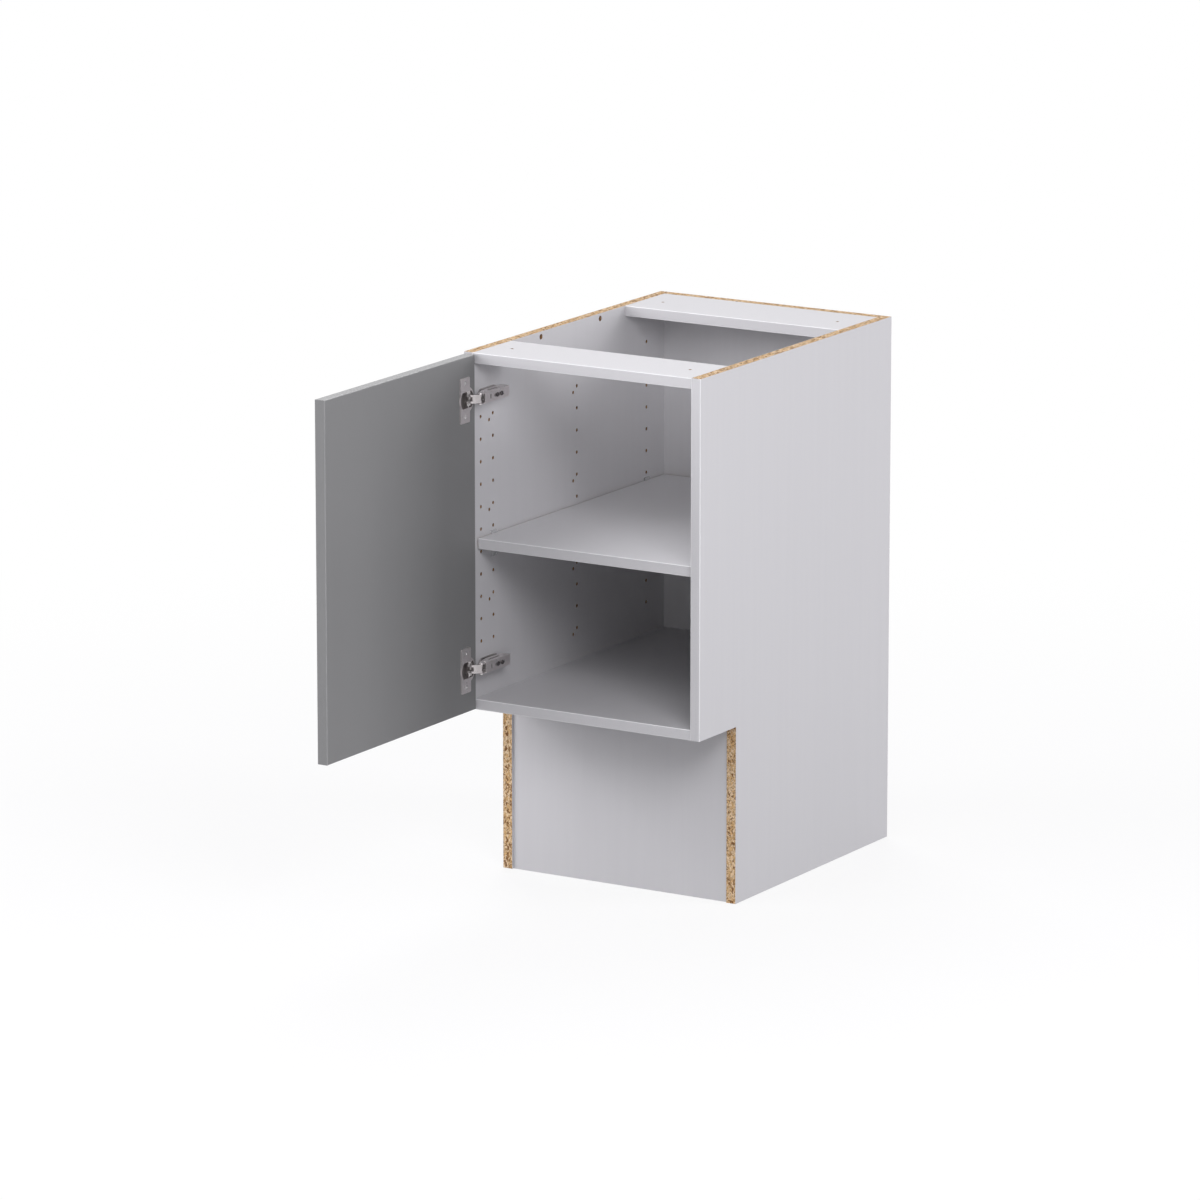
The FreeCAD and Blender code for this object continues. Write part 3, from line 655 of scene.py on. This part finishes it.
class CABINET_OT_carcass_bands(bpy.types.Operator):
    """Builds the rounded white edge bands on the carcass and the shelf"""

    bl_idname = "cabinet.carcass_bands"
    bl_label = "Build carcass bands"

    def execute(self, context):
        settings = context.scene.cabinet_bands
        grain = context.scene.cabinet_boards.pearl_size / 2
        white = settings.white_band
        edge = settings.white_edge_highlight
        upright = band_material("white_upright_band", white, edge, grain, UPRIGHT_STREAK)
        level = band_material("white_level_band", white, edge, grain, LEVEL_STREAK)
        low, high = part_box("side_edge_bands")
        board = high.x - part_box("right_side_panel")[0].x
        bm = bmesh.new()
        add_band(bm, low, Vector((low.x + board, high.y, high.z)), -Y_AXIS, Z_AXIS, settings)
        add_band(bm, Vector((high.x - board, low.y, low.z)), high, -Y_AXIS, Z_AXIS, settings)
        finish_piece(bm, "side_front_bands", "side_edge_bands", upright, EDGE_SMOOTHING)
        for place_name in ("bottom", "front_rail", "rear_rail", "shelf"):
            node_name = place_name + "_edge_band"
            low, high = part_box(node_name)
            bm = bmesh.new()
            add_band(bm, low, high, -Y_AXIS, X_AXIS, settings)
            finish_piece(bm, node_name + "_rounded", node_name, level, EDGE_SMOOTHING)
        return {"FINISHED"}


class CABINET_OT_door_bands(bpy.types.Operator):
    """Builds the rounded grey edge bands round the door"""

    bl_idname = "cabinet.door_bands"
    bl_label = "Build door bands"

    def execute(self, context):
        settings = context.scene.cabinet_bands
        grain = context.scene.cabinet_boards.pearl_size / 2
        grey = band_material(
            "grey_door_band", settings.grey_band, settings.grey_edge_highlight, grain, DOOR_BAND_STREAK
        )
        low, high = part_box("door_edge_bands")
        core_low, core_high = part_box("door_panel")
        bm = bmesh.new()
        add_band(bm, low, Vector((high.x, core_low.y, high.z)), -Y_AXIS, Z_AXIS, settings)
        add_band(bm, Vector((low.x, core_high.y, low.z)), high, Y_AXIS, Z_AXIS, settings)
        bottom_high = Vector((high.x, core_high.y, core_low.z))
        add_band(bm, Vector((low.x, core_low.y, low.z)), bottom_high, -Z_AXIS, Y_AXIS, settings)
        top_low = Vector((low.x, core_low.y, core_high.z))
        add_band(bm, top_low, Vector((high.x, core_high.y, high.z)), Z_AXIS, Y_AXIS, settings)
        finish_piece(bm, "door_bands_rounded", "door_edge_bands", grey, EDGE_SMOOTHING)
        return {"FINISHED"}


class CABINET_OT_hinges(bpy.types.Operator):
    """Builds the pressed steel pieces of both hinges with rounded edges"""

    bl_idname = "cabinet.hinges"
    bl_label = "Build hinge pressings"

    def execute(self, context):
        settings = context.scene.cabinet_hinges
        build_plating_group()
        nickel = metal_material("nickel_plating", settings.nickel, gloss=0.33, metallic=0.68)
        steel = metal_material("bright_steel", settings.steel, gloss=0.26, metallic=0.8)
        # Darker steel for the links. On the mounting plates it is also a painted shade round the arm.
        drawn = metal_material("drawn_steel", settings.drawn, gloss=0.42, metallic=0.7)
        kinds = (
            ("arm", nickel), ("cup", nickel), ("mounting_plate", drawn),
            ("inner_link", drawn), ("outer_link", drawn),
        )
        for hinge in HINGES:
            for part, plating in kinds:
                node_name = hinge + "_" + part
                bm = rounded_copy(node_name, settings.edge_rounding, 2)
                mark_recesses(bm, RECESS_REACH)
                finish_piece(bm, node_name + "_pressing", node_name, plating, EDGE_SMOOTHING)
            for part in ("arm_pins", "cup_pins"):
                dress(hinge + "_" + part, steel)
        return {"FINISHED"}


class CABINET_OT_screws(bpy.types.Operator):
    """Builds the hinge screws with cross recesses, flat in the cups and domed elsewhere"""

    bl_idname = "cabinet.screws"
    bl_label = "Build hinge screws"

    def execute(self, context):
        settings = context.scene.cabinet_hinges
        zinc = metal_material("zinc_plating", settings.steel, gloss=0.3, metallic=0.6)
        burnished = metal_material("burnished_steel", settings.burnished, gloss=0.38, metallic=0.6)
        dome = ((0.95, 0.22), (1.0, 0.47), (1.0, 1.0))
        flat = ((0.97, 0.0), (1.0, 0.06))
        # Height of the head and radius of the shank, then the head's form and finish
        kinds = (
            ("cup_screws", 0.0013, 0.00175, flat, zinc),
            ("plate_screws", 0.0022, 0.0024, dome, zinc),
            ("adjusting_screws", 0.0014, 0.002, dome, burnished),
        )
        for hinge in HINGES:
            for part, head, shank_radius, profile, plating in kinds:
                node_name = hinge + "_" + part
                ends, head_radius = screw_ends(node_name)
                low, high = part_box(node_name)
                bm = bmesh.new()
                for end in ends:
                    add_cross_screw(
                        bm, end, head_radius, head, shank_radius, high.x - low.x, profile,
                        settings.recess_share,
                    )
                bmesh.ops.recalc_face_normals(bm, faces=bm.faces)
                finish_piece(bm, node_name + "_crossed", node_name, plating, SCREW_SMOOTHING)
        return {"FINISHED"}


class CABINET_OT_clips(bpy.types.Operator):
    """Builds the clear plastic shelf clips with rounded edges"""

    bl_idname = "cabinet.clips"
    bl_label = "Build shelf clips"

    def execute(self, context):
        settings = context.scene.cabinet_clips
        clear = clip_material(settings)
        for place_name in ("front_left", "front_right", "rear_left", "rear_right"):
            node_name = "shelf_clip_" + place_name
            bm = rounded_copy(node_name, settings.edge_rounding, 3)
            finish_piece(bm, node_name + "_moulding", node_name, clear, EDGE_SMOOTHING)
        return {"FINISHED"}


class CABINET_OT_dowels(bpy.types.Operator):
    """Gives the dowels inside the joints their beech wood"""

    bl_idname = "cabinet.dowels"
    bl_label = "Finish dowels"

    def execute(self, context):
        beech = dowel_material()
        for joint in ("front_rail", "rear_rail", "bottom_panel", "back_panel", "toe_kick"):
            dress(joint + "_dowels", beech)
        return {"FINISHED"}


class CABINET_OT_stage(bpy.types.Operator):
    """Sets the floor, the soft studio light and the camera"""

    bl_idname = "cabinet.stage"
    bl_label = "Set stage"

    def execute(self, context):
        settings = context.scene.cabinet_stage
        self.floor(context, settings)
        self.sky(context, settings)
        for name, size, spot in LAMPS:
            self.lamp(context, name + "_light", getattr(settings, name), size, spot)
        camera = bpy.data.objects.new("camera", bpy.data.cameras.new("camera"))
        camera.data.lens = settings.lens
        camera.data.clip_end = 200.0
        camera.location = settings.camera_place
        camera.rotation_euler = (math.pi / 2 - settings.camera_tilt, 0.0, settings.camera_turn)
        context.scene.collection.objects.link(camera)
        context.scene.camera = camera
        context.scene.view_settings.view_transform = "Standard"
        return {"FINISHED"}

    def seen_directly(self, tree):
        path = place(tree, "ShaderNodeLightPath").outputs
        mirrored = arithmetic(tree, "MAXIMUM", path["Is Glossy Ray"], path["Is Transmission Ray"])
        return arithmetic(tree, "MAXIMUM", path["Is Camera Ray"], mirrored)

    def floor(self, context, settings):
        bm = bmesh.new()
        bmesh.ops.create_grid(bm, x_segments=4, y_segments=4, size=settings.floor_size / 2)
        below_the_foot = 0.0004
        bmesh.ops.translate(bm, vec=(0, 0, -below_the_foot), verts=bm.verts)
        mesh = bpy.data.meshes.new("studio_floor")
        bm.to_mesh(mesh)
        bm.free()
        floor = bpy.data.objects.new("studio_floor", mesh)
        context.scene.collection.objects.link(floor)
        made, tree, surface, position = new_material("pale_floor")
        mesh.materials.append(made)
        direct = self.seen_directly(tree)
        bounced = (0.37, 0.37, 0.375, 1.0)
        seen = (0.95, 0.95, 0.955, 1.0)
        feed(tree, surface, "Base Color", mix_colours(tree, direct, bounced, seen))
        feed(tree, surface, "Roughness", 0.9)
        feed(tree, surface, "Specular IOR Level", 0.0)
        white = place(tree, "ShaderNodeEmission")
        feed(tree, white, "Color", (1.0, 1.0, 1.0, 1.0))
        feed(tree, white, "Strength", 1.0)
        blend = place(tree, "ShaderNodeMixShader")
        feed(tree, blend, 0, arithmetic(tree, "MULTIPLY", direct, self.whiteness(tree, position)))
        tree.links.new(surface.outputs[0], blend.inputs[1])
        tree.links.new(white.outputs[0], blend.inputs[2])
        tree.links.new(blend.outputs[0], tree.nodes["Material Output"].inputs["Surface"])

    def whiteness(self, tree, position):
        """Share of plain white in the floor: less round the object, where its shadow lies."""
        away = place(tree, "ShaderNodeVectorMath", operation="DISTANCE")
        feed(tree, away, 0, position)
        feed(tree, away, 1, OBJECT_FOOT)
        return remap(tree, away.outputs["Value"], 0.7, 2.2, 0.8, 1.0)

    def sky(self, context, settings):
        world = bpy.data.worlds.new("studio_sky")
        context.scene.world = world
        world.use_nodes = True
        tree = world.node_tree
        light = tree.nodes["Background"]
        feed(tree, light, "Color", settings.tint)
        feed(tree, light, "Strength", settings.sky)
        white = place(tree, "ShaderNodeBackground")
        feed(tree, white, "Color", (1.0, 1.0, 1.0, 1.0))
        feed(tree, white, "Strength", 1.0)
        blend = place(tree, "ShaderNodeMixShader")
        feed(tree, blend, 0, self.seen_directly(tree))
        tree.links.new(light.outputs[0], blend.inputs[1])
        tree.links.new(white.outputs[0], blend.inputs[2])
        tree.links.new(blend.outputs[0], tree.nodes["World Output"].inputs["Surface"])

    def lamp(self, context, name, power, size, spot):
        light = bpy.data.lights.new(name, "AREA")
        light.energy = power
        light.color = context.scene.cabinet_stage.tint[:3]
        light.size = size
        lamp = bpy.data.objects.new(name, light)
        lamp.location = spot
        lamp.rotation_euler = (OBJECT_MIDDLE - Vector(spot)).to_track_quat("-Z", "Y").to_euler()
        context.scene.collection.objects.link(lamp)


OPERATORS = (
    CABINET_OT_boards, CABINET_OT_carcass_bands, CABINET_OT_door_bands, CABINET_OT_hinges,
    CABINET_OT_screws, CABINET_OT_clips, CABINET_OT_dowels, CABINET_OT_stage,
)
SETTINGS = {
    "cabinet_boards": CabinetBoardSettings,
    "cabinet_bands": CabinetBandSettings,
    "cabinet_hinges": CabinetHingeSettings,
    "cabinet_clips": CabinetClipSettings,
    "cabinet_stage": CabinetStageSettings,
}


class CABINET_PT_sidebar(bpy.types.Panel):
    """Lists the cabinet's pieces and their settings"""

    bl_idname = "CABINET_PT_sidebar"
    bl_label = "Kitchen base cabinet"
    bl_space_type = "VIEW_3D"
    bl_region_type = "UI"
    bl_category = "Cabinet"

    def draw(self, context):
        for operator in OPERATORS:
            self.layout.operator(operator.bl_idname)
        for name, group in SETTINGS.items():
            section = self.layout.box()
            for setting in group.__annotations__:
                section.prop(getattr(context.scene, name), setting)


def register():
    for made in (*SETTINGS.values(), *OPERATORS, CABINET_PT_sidebar):
        bpy.utils.register_class(made)
    for name, group in SETTINGS.items():
        setattr(bpy.types.Scene, name, PointerProperty(type=group))


def unregister():
    for name in SETTINGS:
        delattr(bpy.types.Scene, name)
    for made in reversed((*SETTINGS.values(), *OPERATORS, CABINET_PT_sidebar)):
        bpy.utils.unregister_class(made)


def main():
    register()
    bpy.ops.cabinet.boards()
    bpy.ops.cabinet.carcass_bands()
    bpy.ops.cabinet.door_bands()
    bpy.ops.cabinet.hinges()
    bpy.ops.cabinet.screws()
    bpy.ops.cabinet.clips()
    bpy.ops.cabinet.dowels()
    bpy.ops.cabinet.stage()


if __name__ == "__main__":
    main()
